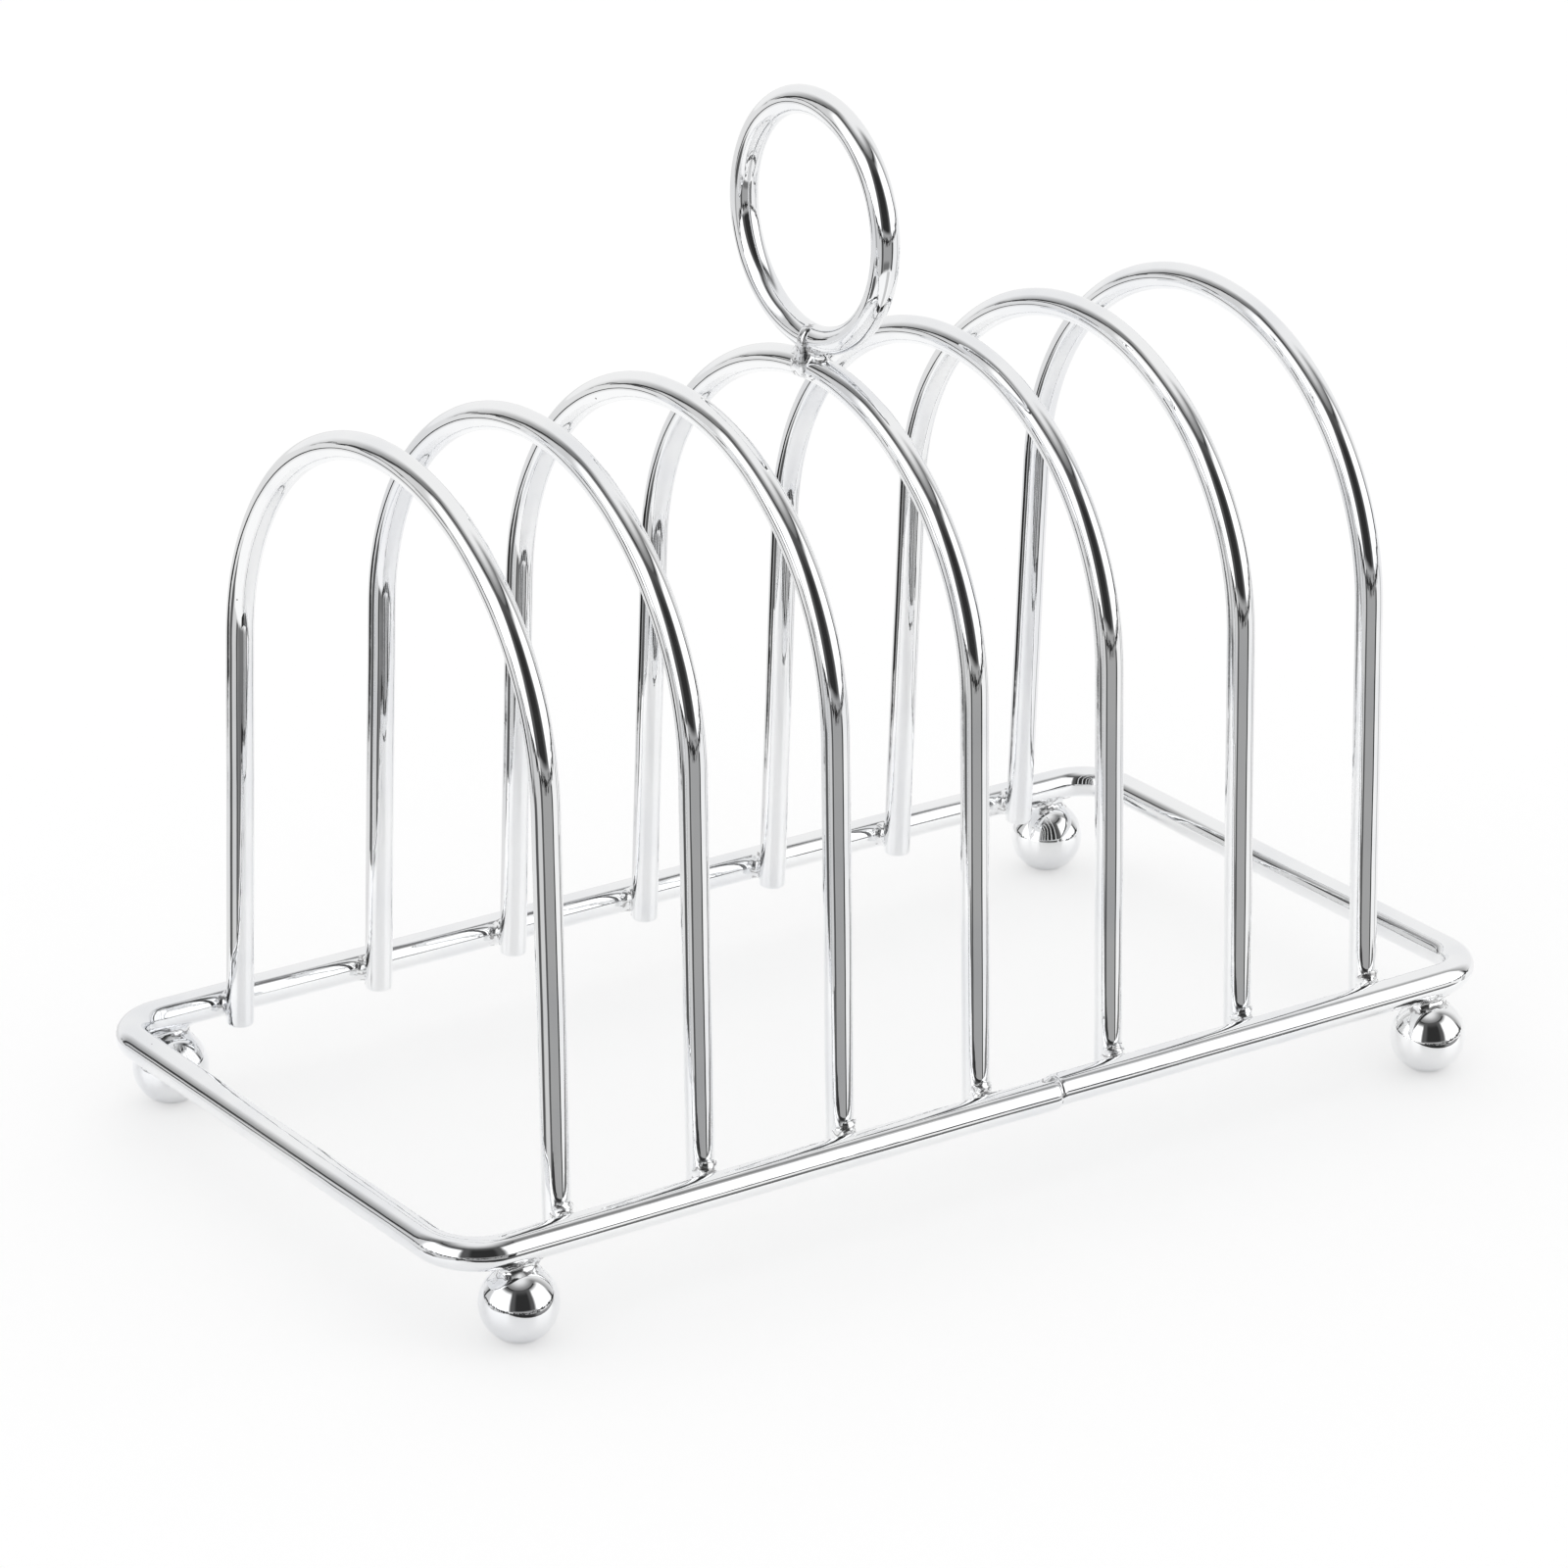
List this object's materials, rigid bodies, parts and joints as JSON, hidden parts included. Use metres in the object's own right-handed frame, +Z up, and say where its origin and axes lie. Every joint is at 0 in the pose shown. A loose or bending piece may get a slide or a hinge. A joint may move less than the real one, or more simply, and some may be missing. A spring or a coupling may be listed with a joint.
{
  "type": "toast rack",
  "caption": "Free-standing chromed wire toast rack: rounded-rectangle base wire on ball feet, a row of arched dividers that hold slices upright, and a ring handle on top.",
  "frame": {"origin": "middle of the rack on the surface that it stands on", "axes": "+X along the long rails, +Y across the rack from the front rail to the back rail, +Z up"},
  "size_m": [0.196, 0.1118, 0.1618],
  "materials": {
    "base_chrome": "mirror chrome plate on bent round wire",
    "arch_chrome": "mirror chrome plate on bent round wire",
    "handle_chrome": "mirror chrome plate on a bent wire ring",
    "foot_chrome": "mirror chrome plate on polished balls"
  },
  "bodies": {
    "root": {"base_wire": "base_chrome", "arch_1": "arch_chrome", "arch_2": "arch_chrome", "arch_3": "arch_chrome", "arch_4": "arch_chrome", "arch_5": "arch_chrome", "arch_6": "arch_chrome", "arch_7": "arch_chrome", "handle_ring": "handle_chrome", "foot_front_left": "foot_chrome", "foot_front_right": "foot_chrome", "foot_back_left": "foot_chrome", "foot_back_right": "foot_chrome"}
  },
  "joints": []
}
